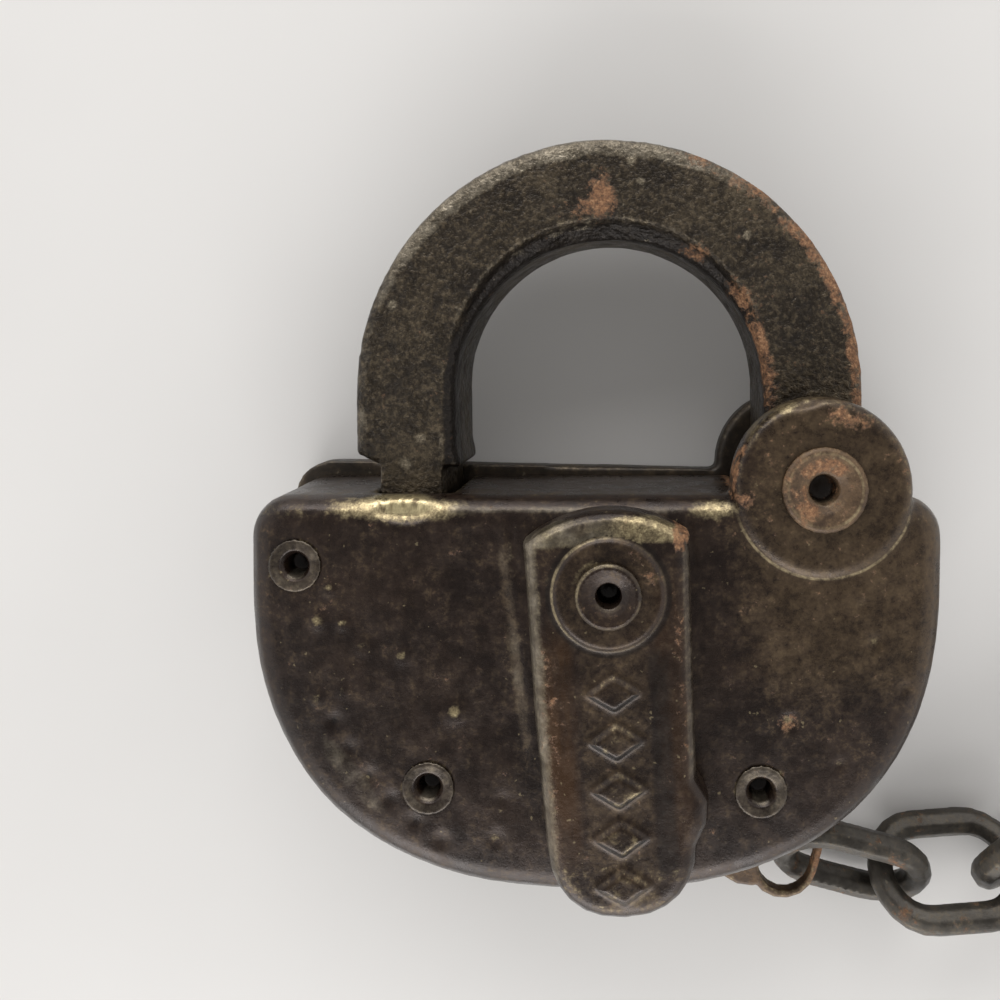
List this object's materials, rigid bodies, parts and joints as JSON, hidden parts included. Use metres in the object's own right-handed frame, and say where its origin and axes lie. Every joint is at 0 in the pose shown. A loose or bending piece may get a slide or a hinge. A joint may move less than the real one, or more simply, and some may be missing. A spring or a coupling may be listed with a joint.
{
  "type": "switch padlock",
  "caption": "Worn and rusty padlock with a flat rounded body, swinging bow, drop cover over its keyhole and a short length of chain.",
  "frame": {"origin": "on the flat back of the body, on its line of symmetry, 20 mm below its straight top edge", "axes": "+Z out of the face, up as it lies on its back; +Y towards the bow; +X towards the hinge and the chain"},
  "size_m": [0.1022, 0.0866, 0.0236],
  "materials": {
    "case_metal": "dark brown-black patina, glossy where handled, pale at the worn edges",
    "back_metal": "dull brown-grey patina",
    "shackle_metal": "pitted olive-brown",
    "rusty_iron": "orange-brown rust",
    "works_brass": "dull and oily",
    "works_steel": "dull",
    "chain_steel": "grey, spotted with rust"
  },
  "bodies": {
    "case": {"front_case": "case_metal", "back_case": "back_metal", "shackle_rivet": "rusty_iron", "rivet_upper_left": "case_metal", "rivet_lower_left": "case_metal", "rivet_lower_right": "case_metal", "drop_rivet": "case_metal", "bolt_pivot": "works_steel", "bolt_spring": "works_steel", "spring_post": "works_steel", "key_post": "works_steel", "ward_ring": "works_brass", "chain_lug": "rusty_iron"},
    "shackle": {"shackle": "shackle_metal"},
    "drop": {"key_drop": "case_metal"},
    "bolt": {"bolt": "works_brass"},
    "link_1": {"chain_link_1": "chain_steel"},
    "link_2": {"chain_link_2": "chain_steel"},
    "link_3": {"chain_link_3": "chain_steel"},
    "link_4": {"chain_link_4": "chain_steel"},
    "link_5": {"chain_link_5": "chain_steel"}
  },
  "joints": [
    {"name": "shackle_hinge", "type": "hinge", "parent": "case", "child": "shackle", "pos_m": [0.0224, 0.021, 0.00928], "axis": [0, 0, 1], "range_deg": [-80, 0]},
    {"name": "drop_swing", "type": "hinge", "parent": "case", "child": "drop", "pos_m": [0.0015, 0.0119, 0.0205], "axis": [0, 0, 1], "range_deg": [-100, 60]},
    {"name": "bolt_turn", "type": "hinge", "parent": "case", "child": "bolt", "pos_m": [-0.0075, 0.0142, 0.009], "axis": [0, 0, 1], "range_deg": [-20, 0]},
    {"name": "chain_turn_1", "type": "hinge", "parent": "case", "child": "link_1", "pos_m": [0.0213, -0.02215, 0.00485], "axis": [0, 0, 1], "range_deg": [-16, 10]},
    {"name": "chain_turn_2", "type": "hinge", "parent": "link_1", "child": "link_2", "pos_m": [0.03432, -0.02552, 0.00485], "axis": [0, 0, 1], "range_deg": [-54, 15]},
    {"name": "chain_turn_3", "type": "hinge", "parent": "link_2", "child": "link_3", "pos_m": [0.04578, -0.02452, 0.00485], "axis": [0, 0, 1], "range_deg": [-62, 7]},
    {"name": "chain_turn_4", "type": "hinge", "parent": "link_3", "child": "link_4", "pos_m": [0.05542, -0.01825, 0.00485], "axis": [0, 0, 1], "range_deg": [-62, 7]},
    {"name": "chain_turn_5", "type": "hinge", "parent": "link_4", "child": "link_5", "pos_m": [0.061, -0.00819, 0.00485], "axis": [0, 0, 1], "range_deg": [-59, 10]}
  ]
}
